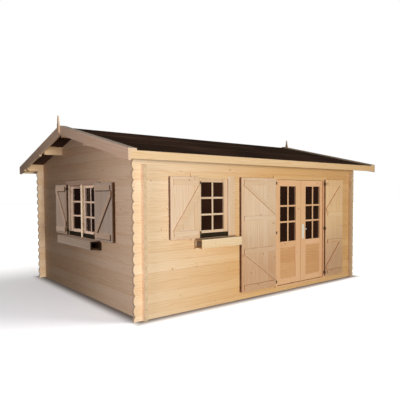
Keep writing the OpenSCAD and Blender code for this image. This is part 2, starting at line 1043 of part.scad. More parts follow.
module weather_bars() {
    color(bronze) {
        on_front(front_window_x)
            weather_bar(-sash_w / 2, sash_w / 2);
        on_left(left_window_y) {
            weather_bar(post_w / 2, post_w / 2 + sash_w);
            weather_bar(-post_w / 2 - sash_w, -post_w / 2);
        }
    }
}

// Hollow box of boards under a window, open at its ends, on a deeper cleat
module window_box(length, top) {
    translate([-length / 2, 0, 0])
        along_x(0, length)
            difference() {
                union() {
                    translate([-box_d, top - box_h])
                        square([box_d, box_h]);
                    translate([-cleat_t, top - box_h - box_t])
                        square([cleat_t, box_h + box_t]);
                }
                translate([-box_d + box_t, top - box_h + box_t])
                    square([box_d - box_t - cleat_t, box_h - 2 * box_t]);
                translate([-casing_t, window_bottom])
                    square([casing_t + cut, top + cut - window_bottom]);
            }
}

module front_window_box() {
    color(pale_pine)
        on_front(front_window_x + front_casing_half - front_box_l / 2)
            window_box(front_box_l, window_shutter_bottom - box_gap);
}

module left_window_box() {
    color(pale_pine)
        on_left(left_window_y)
            window_box(left_box_l, window_shutter_bottom - box_gap);
}

// Slanting brace from corner to corner of the field between two rails, which lies on the hinge side
// or the free side of that line and is cut off along the shutter's edge
module brace(w, z0, z1, up_to_hinge, hinge_side) {
    free = -hinge_gap - w + brace_in;
    hinge = -hinge_gap - brace_in;
    head = up_to_hinge ? hinge - brace_tip : free + brace_tip;
    foot = up_to_hinge ? free + brace_tip : hinge - brace_tip;
    shift = hinge_side ? brace_w : -brace_w;
    along_y(board_off + board_t, board_off + board_t + rail_t)
        intersection() {
            polygon([[head, z1], [foot, z0], [foot + shift, z0], [head + shift, z1]]);
            translate([free, z0])
                square([hinge - free, z1 - z0]);
        }
}

// Strap hinge: plate on the boards' back, a bend round their edge and a bored knuckle
module strap_hinge(z) {
    difference() {
        union() {
            translate([-hinge_gap - strap_l, board_off - strap_t, z - strap_w / 2])
                cube([strap_l + strap_t, strap_t, strap_w]);
            translate([-hinge_gap, board_off - strap_t, z - strap_w / 2])
                cube([strap_t, axis_out - board_off + strap_t, strap_w]);
            translate([0, axis_out, z - strap_w / 2])
                cylinder(h = strap_w, r = knuckle_r);
        }
        translate([0, axis_out, z - strap_w / 2 - cut])
            cylinder(h = strap_w + 2 * cut, r = pin_r + pin_gap);
    }
}

// Heights of the hinges on a shutter: at its rails
function window_hinge_heights(h) = [rail_h, h - rail_h];
function door_hinge_heights(h) = [rail_h, h / 2, h - rail_h];
function inner_rails(h) = [for (share = inner_rail_shares) h * share];

// Ledged shutter, open, its hinge axis on the Z axis to its right and y counted out from the wall
module shutter(w, h, rails) {
    translate([-hinge_gap - w, board_off, 0])
        cube([w, board_t, h]);
    for (z = rails)
        translate([-hinge_gap - w + rail_in, board_off + board_t, z - rail_h / 2])
            cube([w - 2 * rail_in, rail_t, rail_h]);
}

// Pin of a hinge on the arm of its bracket, whose plate lies on the wall or on the casing
module hinge_pin(z, seat) {
    z0 = z - strap_w / 2 - bracket_h - seat_gap;
    translate([0, axis_out, z0])
        cylinder(h = pin_h, r = pin_r);
    translate([-pin_r, seat, z0])
        cube([2 * pin_r, axis_out + pin_r - seat, bracket_h]);
    translate([pin_r - bracket_l, seat, z0])
        cube([bracket_l, bracket_t, bracket_h]);
}

// Sets a shutter's piece, drawn open with y counted out from the wall, at its axis on the wall
module at_axis(way) {
    scale([way, -1, 1])
        children();
}

module door_shutter(w) {
    h = door_shutter_h;
    low = rail_h;
    rails = [low, inner_rails(h)[0], inner_rails(h)[1], h - low];
    shutter(w, h, rails);
    brace(w, rails[0] + rail_h / 2, rails[1] - rail_h / 2, false, true);
    brace(w, rails[2] + rail_h / 2, rails[3] - rail_h / 2, false, true);
}

module window_shutter(w, up_to_hinge, hinge_side) {
    h = window_shutter_h;
    shutter(w, h, window_hinge_heights(h));
    brace(w, rail_h * 1.5, h - rail_h * 1.5, up_to_hinge, hinge_side);
}

module left_door_shutter() {
    color(pale_pine)
        on_front(door_axis_l - half_l)
            translate([0, 0, door_shutter_bottom])
                at_axis(1)
                    door_shutter(door_shutter_w);
}

module right_door_shutter() {
    color(pale_pine)
        on_front(door_axis_r - half_l)
            translate([0, 0, door_shutter_bottom])
                at_axis(-1)
                    door_shutter(right_shutter_w);
}

module front_window_shutter() {
    color(pale_pine)
        on_front(window_axis - half_l)
            translate([0, 0, window_shutter_bottom])
                at_axis(1)
                    window_shutter(window_shutter_w, true, true);
}

module near_window_shutter() {
    color(pale_pine)
        on_left(near_axis - half_w)
            translate([0, 0, window_shutter_bottom])
                at_axis(-1)
                    window_shutter(near_shutter_w, false, false);
}

module far_window_shutter() {
    color(pale_pine)
        on_left(far_axis - half_w)
            translate([0, 0, window_shutter_bottom])
                at_axis(1)
                    window_shutter(far_shutter_w, false, true);
}

// Strap hinges for one shutter
module shutter_straps(hinges) {
    for (z = hinges)
        strap_hinge(z);
}

module left_door_shutter_straps() {
    color(iron)
        on_front(door_axis_l - half_l)
            translate([0, 0, door_shutter_bottom])
                at_axis(1)
                    shutter_straps(door_hinge_heights(door_shutter_h));
}

module right_door_shutter_straps() {
    color(iron)
        on_front(door_axis_r - half_l)
            translate([0, 0, door_shutter_bottom])
                at_axis(-1)
                    shutter_straps(door_hinge_heights(door_shutter_h));
}

module front_window_shutter_straps() {
    color(iron)
        on_front(window_axis - half_l)
            translate([0, 0, window_shutter_bottom])
                at_axis(1)
                    shutter_straps(window_hinge_heights(window_shutter_h));
}

module near_window_shutter_straps() {
    color(iron)
        on_left(near_axis - half_w)
            translate([0, 0, window_shutter_bottom])
                at_axis(-1)
                    shutter_straps(window_hinge_heights(window_shutter_h));
}

module far_window_shutter_straps() {
    color(iron)
        on_left(far_axis - half_w)
            translate([0, 0, window_shutter_bottom])
                at_axis(1)
                    shutter_straps(window_hinge_heights(window_shutter_h));
}

// Hinge pins for one shutter
module pin_set(hinges, seat, way) {
    at_axis(way)
        for (z = hinges)
            hinge_pin(z, seat);
}

module shutter_pins() {
    color(iron) {
        on_front(window_axis - half_l)
            translate([0, 0, window_shutter_bottom])
                pin_set(window_hinge_heights(window_shutter_h), casing_t, 1);
        on_front(door_axis_l - half_l)
            translate([0, 0, door_shutter_bottom])
                pin_set(door_hinge_heights(door_shutter_h), 0, 1);
        on_front(door_axis_r - half_l)
            translate([0, 0, door_shutter_bottom])
                pin_set(door_hinge_heights(door_shutter_h), casing_t, -1);
        for (place = [[near_axis, -1], [far_axis, 1]])
            on_left(place[0] - half_w)
                translate([0, 0, window_shutter_bottom])
                    pin_set(window_hinge_heights(window_shutter_h), casing_t, place[1]);
    }
}

front_wall_left();
front_wall_under_window();
front_wall_pier();
front_wall_right();
front_wall_head();
front_wall_sill_log();
left_wall_front();
left_wall_back();
left_wall_under_window();
left_gable();
right_wall();
right_gable();
back_wall();
front_plate();
back_plate();
ridge_purlin();
front_purlin();
back_purlin();
roof_front();
roof_back();
front_fascia();
back_fascia();
left_barge_front();
left_barge_back();
right_barge_front();
right_barge_back();
left_finial();
right_finial();
floor_joists();
floor_boards();
door_frame();
left_door();
left_door_glass();
right_door();
right_door_glass();
door_handle();
door_hinges();
left_door_hinges();
right_door_hinges();
front_window_frame();
front_window_sash();
front_window_glass();
left_window_frame();
left_window_near_sash();
left_window_far_sash();
left_window_glass();
weather_bars();
front_window_box();
left_window_box();
left_door_shutter();
right_door_shutter();
front_window_shutter();
near_window_shutter();
far_window_shutter();
left_door_shutter_straps();
right_door_shutter_straps();
front_window_shutter_straps();
near_window_shutter_straps();
far_window_shutter_straps();
shutter_pins();
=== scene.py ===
"""Looks of the log-built garden cabin: pine joinery, felted roof, dark panes and iron shutter hinges.

Metres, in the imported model's frame: +X along the front to the right, +Y to the back, +Z up.
"""
import math
import random

import bmesh
import bpy
from mathutils import Matrix, Vector


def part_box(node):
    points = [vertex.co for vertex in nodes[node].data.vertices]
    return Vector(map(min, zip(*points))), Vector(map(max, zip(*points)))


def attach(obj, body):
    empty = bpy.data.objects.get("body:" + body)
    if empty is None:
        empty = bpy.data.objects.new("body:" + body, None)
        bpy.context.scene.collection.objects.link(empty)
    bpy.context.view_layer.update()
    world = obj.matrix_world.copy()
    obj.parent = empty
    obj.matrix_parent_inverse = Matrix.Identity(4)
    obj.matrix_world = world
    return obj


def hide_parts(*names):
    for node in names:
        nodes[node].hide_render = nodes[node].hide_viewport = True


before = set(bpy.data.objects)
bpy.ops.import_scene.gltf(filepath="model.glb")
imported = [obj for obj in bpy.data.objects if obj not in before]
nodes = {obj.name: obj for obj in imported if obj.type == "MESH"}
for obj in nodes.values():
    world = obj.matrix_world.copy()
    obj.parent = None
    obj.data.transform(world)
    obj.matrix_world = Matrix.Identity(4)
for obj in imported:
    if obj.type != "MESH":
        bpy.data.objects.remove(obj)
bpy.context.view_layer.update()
scene = bpy.context.scene
draw = random.Random(7)
MM = 0.001
X, Y, Z = 0, 1, 2

# Driving sizes of the logs and of the joinery, in metres
LOG_H = 135 * MM
LOG_T = 44 * MM
CASING_W = 98 * MM
CASING_T = 18 * MM
CASING_HEAD = 36 * MM
FRAME_T = 28 * MM
FRAME_HEAD = 38 * MM
JAMB_T = 46 * MM
POST_W = 30 * MM
COVER_W = 16 * MM
COVER_T = 10 * MM
SASH_W = 568 * MM
SASH_STILE = 73 * MM
SASH_TOP = 52 * MM
SASH_FOOT = 105 * MM
BAR_W = 28 * MM
BAR_T = 11 * MM
BAR_SET = 2 * MM
BAR_RAIL_IN = 0.5 * MM
STILE_OUT = 78 * MM
STILE_IN = 128 * MM
LEAF_TOP = 105 * MM
LEAF_GLASS_H = 935 * MM
LEAF_LOCK = 92 * MM
LEAF_FOOT = 92 * MM
PANE_H = 318 * MM
PANEL_IN = 9 * MM
PANEL_BOARDS = 4
BEAD = 12 * MM
BEAD_IN = 3 * MM
SHUTTER_BOARD_T = 20 * MM
SHUTTER_BOARD_W = 96 * MM
SHUTTER_ARRIS = 3.5 * MM
RAIL_H = 76 * MM
RAIL_IN = 42 * MM
RAIL_PLACES = (0.36, 0.645)
BRACE_W = 95 * MM
BRACE_IN = 8 * MM
BRACE_TIP = 16 * MM
BOX_T = 20 * MM
CLEAT_T = 30 * MM
CLEAT_DOWN = 22 * MM
VERGE_W = 75 * MM
SASH_OPEN = math.radians(20)
ROOF_PITCH = math.radians(13.4)
FELT_T = 3 * MM
FELT_ROLLS = 3
FELT_LAP = 80 * MM
FELT_ARRIS = 1 * MM
FLOOR_BOARD_W = 96 * MM
WALL_HALF_L = 2325 * MM
WALL_HALF_W = 1945 * MM
# How far the hearts of the long and of the side logs lie from the middle of the cabin
LONG_HEART = WALL_HALF_W - LOG_T / 2
SIDE_HEART = WALL_HALF_L - LOG_T / 2

# Local frames of the two glazed walls: u along the wall to the right, v into the wall, w up
FRONT = Matrix.Identity(4)
LEFT = Matrix.Rotation(math.radians(-90), 4, "Z")


def linear(hex_colour):
    """The linear RGBA of an sRGB hex colour."""
    channels = [int(hex_colour[i:i + 2], 16) / 255 for i in (1, 3, 5)]
    return [c / 12.92 if c <= 0.04045 else ((c + 0.055) / 1.055) ** 2.4 for c in channels] + [1.0]


def add(tree, kind, sockets=None, **settings):
    """Adds a node with its settings; a socket's value is a number, a colour or what links to it."""
    node = tree.nodes.new(kind)
    for name, value in settings.items():
        setattr(node, name, value)
    for key, value in (sockets or {}).items():
        if isinstance(value, bpy.types.NodeSocket):
            tree.links.new(value, node.inputs[key])
        else:
            node.inputs[key].default_value = value
    return node


def new_material(name):
    """An empty node material with its output node."""
    material = bpy.data.materials.new(name)
    material.use_nodes = True
    tree = material.node_tree
    tree.nodes.clear()
    return material, tree, add(tree, "ShaderNodeOutputMaterial")


# Planed pine: a pale yellow softwood with darker late-wood lines, small red-brown knots and a dull sheen.
# Ring lines are 2 to 5 mm apart on real boards, and fibres are a fraction of a millimetre wide: both are
# drawn much coarser so that they show, on the logs' ends too.
RING_SPACING = 26 * MM
END_RING_SPACING = 9 * MM
FIBRE_WIDTH = 5 * MM
FIBRE_LENGTH = 420 * MM
GRAIN_RELIEF = 0.4 * MM
# How far the rings on a log's end are centred out of its middle, and over how many metres of grain the
# boards take their places by chance
HEART_OUT = 30 * MM
BOARD_SHIFT = 9.0
# One place for a knot in each stretch of board, how freely it lies there, the share of places left empty, a
# knot's least radius and how much more it may be, the part of it that is darkest, and how far off the lines
# bend round it
KNOT_RUN = 520 * MM
KNOT_SCATTER = 0.85
KNOT_EMPTY = 0.5
KNOT_SMALL = 6 * MM
KNOT_MORE = 13 * MM
KNOT_CORE = 0.4
KNOT_SWIRL = 70 * MM
KNOT_BROWN = "#7C4A26"
KNOT_DEPTH = 0.72
# How the late-wood lines run, counted in lines: their slant into the board, their wander and their bend at
# a knot; where in its wave a line begins; and the wander's swings a metre along, across and into the board
LINE_SLANT = 0.7
LINE_WANDER = 5.0
LINE_BEND = 1.6
LINE_FROM = -0.4
WANDER_SCALE = (0.9, 9.0, 9.0)
# Shares of the tone: the board's own, its late-wood lines, fibres and slow blotches, and the whole span
BOARD_TONE = (-0.16, 0.2)
LATE_TONE = 0.34
FIBRE_TONE = 0.5
BLOTCH_TONE = 0.45
TONE_SPAN = (0.1, 1.1)
END_LIGHT, END_DARK = "#C9AE8C", "#B08D66"
END_DEPTH = 0.55
END_FACING = 0.75
PINE_ROUGH = (0.5, 0.7)


def pine(name, along, across, sapwood, latewood, board=None, start=0.0, lean=0.0, core=None, fade=None):
    """Pine with its grain along one axis.

    Boards lie side by side along the axis across, each board wide from start, or are told apart by the
    member attribute. lean tilts the grain with the roof; core is how far the logs' hearts lie from the
    middle of the cabin, for the rings on their ends; fade is a second pair of colours, the axis and the
    stretch of it on which the timber turns to them, and how far that lags for each metre of height.
    """
    material, tree, output = new_material(name)
    where = add(tree, "ShaderNodeTexCoord")
    axes = add(tree, "ShaderNodeSeparateXYZ", {0: where.outputs["Object"]}).outputs
    level = axes[across]
    if lean:
        away = add(tree, "ShaderNodeMath", {0: axes[along]}, operation="ABSOLUTE").outputs[0]
        level = add(tree, "ShaderNodeMath", {0: away, 1: lean, 2: level}, operation="MULTIPLY_ADD").outputs[0]
    if board:
        place = add(tree, "ShaderNodeMath", {0: level, 1: start}, operation="SUBTRACT").outputs[0]
        place = add(tree, "ShaderNodeMath", {0: place, 1: board}, operation="DIVIDE").outputs[0]
        row = add(tree, "ShaderNodeMath", {0: place}, operation="FLOOR").outputs[0]
    else:
        row = add(tree, "ShaderNodeAttribute", attribute_name="member").outputs["Fac"]
    chance = add(tree, "ShaderNodeTexWhiteNoise", {"W": row}, noise_dimensions="1D")
    run = add(tree, "ShaderNodeMath", {0: chance.outputs["Value"], 1: BOARD_SHIFT, 2: axes[along]},
              operation="MULTIPLY_ADD").outputs[0]
    depth = axes[X + Y + Z - along - across]

    # Knots: one place in each stretch of a board, of which about half hold a knot of a chance size
    knot_rows = board or LOG_H
    knot_u = add(tree, "ShaderNodeMath", {0: run, 1: 1 / KNOT_RUN}, operation="MULTIPLY").outputs[0]
    knot_v = add(tree, "ShaderNodeMath", {0: level, 1: 1 / knot_rows}, operation="MULTIPLY").outputs[0]
    knot_at = add(tree, "ShaderNodeCombineXYZ", {0: knot_u, 1: knot_v}).outputs[0]
    cell = add(tree, "ShaderNodeTexVoronoi", {"Vector": knot_at, "Scale": 1.0, "Randomness": KNOT_SCATTER},
               voronoi_dimensions="2D")
    off = add(tree, "ShaderNodeVectorMath", {0: cell.outputs["Position"], 1: knot_at}, operation="SUBTRACT")
    off = add(tree, "ShaderNodeVectorMath", {0: off.outputs[0], 1: (KNOT_RUN, knot_rows, 0.0)},
              operation="MULTIPLY")
    knot_far = add(tree, "ShaderNodeVectorMath", {0: off.outputs[0]}, operation="LENGTH").outputs["Value"]
    luck = add(tree, "ShaderNodeSeparateColor", {0: cell.outputs["Color"]}).outputs
    knot_r = add(tree, "ShaderNodeMath", {0: luck[0], 1: KNOT_MORE, 2: KNOT_SMALL},
                 operation="MULTIPLY_ADD").outputs[0]
    held = add(tree, "ShaderNodeMath", {0: luck[1], 1: KNOT_EMPTY}, operation="GREATER_THAN").outputs[0]
    knot_r = add(tree, "ShaderNodeMath", {0: knot_r, 1: held}, operation="MULTIPLY").outputs[0]
    knot_edge = add(tree, "ShaderNodeMath", {0: knot_r, 1: KNOT_CORE}, operation="MULTIPLY").outputs[0]
    knot = add(tree, "ShaderNodeMapRange", {"Value": knot_far, "From Min": knot_r, "From Max": knot_edge},
               interpolation_type="SMOOTHSTEP").outputs[0]
    swirl = add(tree, "ShaderNodeMapRange", {"Value": knot_far, "From Min": KNOT_SWIRL, "From Max": 0.0},
                interpolation_type="SMOOTHSTEP").outputs[0]
    swirl = add(tree, "ShaderNodeMath", {0: swirl, 1: held}, operation="MULTIPLY").outputs[0]

    # Late-wood lines: rings cut lengthwise, which wander along the board and bend round the knots
    in_board = add(tree, "ShaderNodeCombineXYZ", {0: run, 1: level, 2: depth}).outputs[0]
    drift_at = add(tree, "ShaderNodeVectorMath", {0: in_board, 1: WANDER_SCALE}, operation="MULTIPLY")
    drift = add(tree, "ShaderNodeTexNoise", {"Vector": drift_at.outputs[0], "Scale": 1.0, "Detail": 2.0})
    line = add(tree, "ShaderNodeMath", {0: level, 1: 1 / RING_SPACING, 2: chance.outputs["Value"]},
               operation="MULTIPLY_ADD").outputs[0]
    line = add(tree, "ShaderNodeMath", {0: depth, 1: LINE_SLANT / RING_SPACING, 2: line},
               operation="MULTIPLY_ADD").outputs[0]
    line = add(tree, "ShaderNodeMath", {0: drift.outputs[0], 1: LINE_WANDER, 2: line},
               operation="MULTIPLY_ADD").outputs[0]
    line = add(tree, "ShaderNodeMath", {0: swirl, 1: LINE_BEND, 2: line}, operation="MULTIPLY_ADD").outputs[0]
    line = add(tree, "ShaderNodeMath", {0: line, 1: math.tau}, operation="MULTIPLY").outputs[0]
    line = add(tree, "ShaderNodeMath", {0: line}, operation="SINE").outputs[0]
    late = add(tree, "ShaderNodeMapRange", {"Value": line, "From Min": LINE_FROM, "From Max": 1.0},
               interpolation_type="SMOOTHSTEP").outputs[0]

    # Fibres: fine streaks along the grain
    streak_at = add(tree, "ShaderNodeVectorMath",
                    {0: in_board, 1: (1 / FIBRE_LENGTH, 1 / FIBRE_WIDTH, 1 / FIBRE_WIDTH)},
                    operation="MULTIPLY")
    fibre = add(tree, "ShaderNodeTexNoise", {"Vector": streak_at.outputs[0], "Scale": 1.0, "Detail": 3.0,
                                             "Roughness": 0.6}).outputs[0]

    # Tone: each board its own, and slow blotches along it
    tone = add(tree, "ShaderNodeMapRange", {"Value": chance.outputs["Value"], "To Min": BOARD_TONE[0],
                                            "To Max": BOARD_TONE[1]}).outputs[0]
    for streaks, strength in ((late, LATE_TONE), (fibre, FIBRE_TONE), (drift.outputs[0], BLOTCH_TONE)):
        tone = add(tree, "ShaderNodeMath", {0: streaks, 1: strength, 2: tone},
                   operation="MULTIPLY_ADD").outputs[0]
    shade = add(tree, "ShaderNodeMapRange", {"Value": tone, "From Min": TONE_SPAN[0],
                                             "From Max": TONE_SPAN[1]}).outputs[0]
    pair = [linear(sapwood), linear(latewood)]
    if fade:
        *far_pair, fade_axis, fade_from, fade_to, lag = fade
        along_fade = add(tree, "ShaderNodeMath", {0: axes[Z], 1: -lag, 2: axes[fade_axis]},
                         operation="MULTIPLY_ADD").outputs[0]
        share = add(tree, "ShaderNodeMapRange",
                    {"Value": along_fade, "From Min": fade_from, "From Max": fade_to},
                    interpolation_type="SMOOTHSTEP").outputs[0]
        pair = [add(tree, "ShaderNodeMix", {0: share, 6: near, 7: linear(far)}, data_type="RGBA").outputs[2]
                for near, far in zip(pair, far_pair)]
    wood = add(tree, "ShaderNodeMix", {0: shade, 6: pair[0], 7: pair[1]}, data_type="RGBA").outputs[2]
    spot = add(tree, "ShaderNodeMath", {0: knot, 1: KNOT_DEPTH}, operation="MULTIPLY").outputs[0]
    wood = add(tree, "ShaderNodeMix", {0: spot, 6: wood, 7: linear(KNOT_BROWN)}, data_type="RGBA").outputs[2]

    if core is not None:
        # End grain: rings round the heart of each log, on faces square to the grain
        facing = add(tree, "ShaderNodeSeparateXYZ", {0: where.outputs["Normal"]}).outputs[along]
        facing = add(tree, "ShaderNodeMath", {0: facing}, operation="ABSOLUTE").outputs[0]
        facing = add(tree, "ShaderNodeMath", {0: facing, 1: END_FACING}, operation="GREATER_THAN").outputs[0]
        heart = add(tree, "ShaderNodeMath", {0: place}, operation="FRACT").outputs[0]
        heart = add(tree, "ShaderNodeMath", {0: heart, 1: 0.5}, operation="SUBTRACT").outputs[0]
        heart = add(tree, "ShaderNodeMath", {0: heart, 1: LOG_H}, operation="MULTIPLY").outputs[0]
        side = add(tree, "ShaderNodeMath", {0: depth}, operation="ABSOLUTE").outputs[0]
        side = add(tree, "ShaderNodeMath", {0: side, 1: core + HEART_OUT}, operation="SUBTRACT").outputs[0]
        round_at = add(tree, "ShaderNodeCombineXYZ", {0: heart, 1: side}).outputs[0]
        ring = add(tree, "ShaderNodeVectorMath", {0: round_at}, operation="LENGTH").outputs["Value"]
        ring = add(tree, "ShaderNodeMath", {0: ring, 1: math.tau / END_RING_SPACING},
                   operation="MULTIPLY").outputs[0]
        ring = add(tree, "ShaderNodeMath", {0: ring}, operation="SINE").outputs[0]
        ring = add(tree, "ShaderNodeMapRange", {"Value": ring, "From Min": -1.0,
                                                "To Max": END_DEPTH}).outputs[0]
        ends = add(tree, "ShaderNodeMix", {0: ring, 6: linear(END_LIGHT), 7: linear(END_DARK)},
                   data_type="RGBA").outputs[2]
        wood = add(tree, "ShaderNodeMix", {0: facing, 6: wood, 7: ends}, data_type="RGBA").outputs[2]

    relief = add(tree, "ShaderNodeMath", {0: fibre, 1: late}, operation="ADD").outputs[0]
    bump = add(tree, "ShaderNodeBump", {"Height": relief, "Strength": 0.2, "Distance": GRAIN_RELIEF})
    rough = add(tree, "ShaderNodeMapRange", {"Value": fibre, "To Min": PINE_ROUGH[0],
                                             "To Max": PINE_ROUGH[1]}).outputs[0]
    surface = add(tree, "ShaderNodeBsdfPrincipled", {"Base Color": wood, "Roughness": rough, "IOR": 1.45,
                                                    "Normal": bump.outputs[0]})
    tree.links.new(surface.outputs[0], output.inputs["Surface"])
    return material


def mineral_felt():
    """Bitumen felt with a mineral face: near black, brown-grey grit, dead matt and faintly blotched."""
    material, tree, output = new_material("mineral_roofing_felt")
    where = add(tree, "ShaderNodeTexCoord").outputs["Object"]
    # Grit is about 1 mm and is drawn at 14 mm so that it shows
    grit_size, blotch_size = 14 * MM, 900 * MM
    grit = add(tree, "ShaderNodeTexNoise", {"Vector": where, "Scale": 1 / grit_size, "Detail": 4.0,
                                            "Roughness": 0.75}).outputs[0]
    blotch = add(tree, "ShaderNodeTexNoise", {"Vector": where, "Scale": 1 / blotch_size,
                                              "Detail": 3.0}).outputs[0]
    mixed = add(tree, "ShaderNodeMath", {0: grit, 1: blotch}, operation="MULTIPLY").outputs[0]
    shade = add(tree, "ShaderNodeMapRange", {"Value": mixed, "From Min": 0.1, "From Max": 0.45}).outputs[0]
    colour = add(tree, "ShaderNodeMix", {0: shade, 6: linear("#3C2D25"), 7: linear("#6F5242")},
                 data_type="RGBA").outputs[2]
    bump = add(tree, "ShaderNodeBump", {"Height": grit, "Strength": 0.5, "Distance": 1.2 * MM})
    surface = add(tree, "ShaderNodeBsdfPrincipled", {"Base Color": colour, "Roughness": 0.93,
                                                    "Specular IOR Level": 0.0, "Normal": bump.outputs[0]})
    tree.links.new(surface.outputs[0], output.inputs["Surface"])
    return material


def pane_glass():
    """Float glass with the dark of the room behind painted in: a deep brown face that lets little light
    through, smooth with a thin gloss.
    """
    material, tree, output = new_material("float_glass_painted_dark")
    where = add(tree, "ShaderNodeTexCoord").outputs["Object"]
    sway_length = 350 * MM
    sway = add(tree, "ShaderNodeTexNoise", {"Vector": where, "Scale": 1 / sway_length,
                                            "Detail": 1.0}).outputs[0]
    colour = add(tree, "ShaderNodeMix", {0: sway, 6: linear("#1E0F08"), 7: linear("#382015")},
                 data_type="RGBA").outputs[2]
    bump = add(tree, "ShaderNodeBump", {"Height": sway, "Strength": 0.1, "Distance": 0.5 * MM})
    surface = add(tree, "ShaderNodeBsdfPrincipled", {"Base Color": colour, "Roughness": 0.04, "IOR": 1.5,
                                                    "Transmission Weight": 0.15,
                                                    "Specular IOR Level": 0.1, "Normal": bump.outputs[0]})
    tree.links.new(surface.outputs[0], output.inputs["Surface"])
    return material


def metal(name, dark, light, metallic, rough, grain):
    """A metal part with a faint cloud of tone, of a given grain, that also stirs its gloss."""
    material, tree, output = new_material(name)
    where = add(tree, "ShaderNodeTexCoord").outputs["Object"]
    cloud = add(tree, "ShaderNodeTexNoise", {"Vector": where, "Scale": 1 / grain, "Detail": 4.0,
                                             "Roughness": 0.65}).outputs[0]
    colour = add(tree, "ShaderNodeMix", {0: cloud, 6: linear(dark), 7: linear(light)},
                 data_type="RGBA").outputs[2]
    gloss = add(tree, "ShaderNodeMapRange", {"Value": cloud, "To Min": rough - 0.1, "To Max": rough + 0.12})
    bump = add(tree, "ShaderNodeBump", {"Height": cloud, "Strength": 0.15, "Distance": 0.2 * MM})
    surface = add(tree, "ShaderNodeBsdfPrincipled", {"Base Color": colour, "Metallic": metallic,
                                                    "Roughness": gloss.outputs[0],
                                                    "Normal": bump.outputs[0]})
    tree.links.new(surface.outputs[0], output.inputs["Surface"])
    return material


LOG_LIGHT, LOG_DARK = "#DBBF9B", "#C89F70"
HONEY_LIGHT, HONEY_DARK = "#D3A977", "#C28D55"
PALE_LIGHT, PALE_DARK = "#D4BA9F", "#C29B75"
YELLOW_LIGHT, YELLOW_DARK = "#DFBC92", "#CC9D6C"
DOOR_LIGHT, DOOR_DARK = "#DEAE84", "#CB986B"
# The long logs turn from pale to a darker honey-yellow towards the doors, first at the foot: partly their
# tone, partly painted shade; the side logs are painted lighter at the front and darker at the back, painted
# light and shade; the beams yellow to the right; the front shutters turn darker and redder towards their
# foot, painted shade
TO_HONEY_AND_SHADE = (HONEY_LIGHT, HONEY_DARK, X, -3.2, -0.2, 0.4)
TO_SHADE_BEHIND = ("#BDA182", "#AA845D", Y, -1.9, 0.6, 0.0)
TO_YELLOW = ("#E0BA8C", "#CE9D68", X, -1.5, 2.7, 0.0)
TO_RED_SHADED_FOOT = ("#C39D7E", "#B2835B", Z, 1.35, 0.35, 0.0)
# Rows for the tone of beams, joists, barge boards and finials, wider than the pieces themselves
BEAM_ROW = 400 * MM
JOIST_ROW = 200 * MM
BARGE_ROW = 500 * MM
BARGE_ROW_START = 2200 * MM
FINIAL_ROW = 300 * MM

long_log_pine = pine("planed_pine_long_logs", X, Z, "#DDC4A6", "#CBA57C", LOG_H, LOG_H / 2,
                     core=LONG_HEART, fade=TO_HONEY_AND_SHADE)
side_log_pine = pine("planed_pine_side_logs", Y, Z, "#F0D6B2", "#DDB78A", LOG_H,
                     core=SIDE_HEART, fade=TO_SHADE_BEHIND)
beam_pine = pine("planed_pine_beams", X, Z, LOG_LIGHT, LOG_DARK, BEAM_ROW, fade=TO_YELLOW)
joist_pine = pine("sawn_pine_joists", Y, X, LOG_LIGHT, LOG_DARK, JOIST_ROW)
barge_pine = pine("planed_pine_barge_boards", Y, Z, PALE_LIGHT, PALE_DARK, BARGE_ROW, BARGE_ROW_START,
                  lean=math.tan(ROOF_PITCH))
finial_pine = pine("planed_pine_finials", Z, Y, PALE_LIGHT, PALE_DARK, FINIAL_ROW, -FINIAL_ROW / 2)
felt = mineral_felt()
glass = pane_glass()
# Lacquered iron is brown and half matt, dark bronze nearly black with a dull sheen, and satin nickel pale
# and softly bright; the nickel is only part metallic, because a full metal mirrors the dim surround
hinge_iron = metal("brown_lacquered_hinge_iron", "#5A4A3A", "#7A6650", metallic=0.0, rough=0.5,
                   grain=18 * MM)
dark_bronze = metal("dark_bronze_weather_bar", "#1C150D", "#2F2616", metallic=0.0, rough=0.6,
                    grain=30 * MM)
satin_nickel = metal("satin_nickel_handle", "#E4E0D0", "#FAF8EE", metallic=0.3, rough=0.3,
                     grain=12 * MM)

# Joinery timber by the wall it is on, with the yellower shutter right of the doors apart: upright members,
# and then members that run along the wall. On the front and right the pale pine is painted darker towards its
# foot, painted shade; the left wall's uprights are a darker copy, painted shade
pale_upright = {
    "front": pine("planed_pale_pine_uprights_front", Z, X, PALE_LIGHT, PALE_DARK, fade=TO_RED_SHADED_FOOT),
    "right": pine("planed_pale_pine_uprights_right", Z, X, YELLOW_LIGHT, YELLOW_DARK, fade=TO_RED_SHADED_FOOT),
    "left": pine("pale_pine_uprights_left_shaded", Z, Y, "#C3AE97", "#B29170")}
pale_cross = {
    "front": pine("planed_pale_pine_rails_front", X, Z, PALE_LIGHT, PALE_DARK, fade=TO_RED_SHADED_FOOT),
    "right": pine("planed_pale_pine_rails_right", X, Z, YELLOW_LIGHT, YELLOW_DARK, fade=TO_RED_SHADED_FOOT),
    "left": pine("planed_pale_pine_rails_left", Y, Z, PALE_LIGHT, PALE_DARK)}
# Box boards: the left wall's are a darker copy, painted shade
box_board = {
    "front": pine("planed_pale_pine_box_front", X, Z, "#DEC5A3", "#CDA87C"),
    "left": pine("pale_pine_box_left_shaded", Y, Z, "#BDA991", "#AC8D6D")}
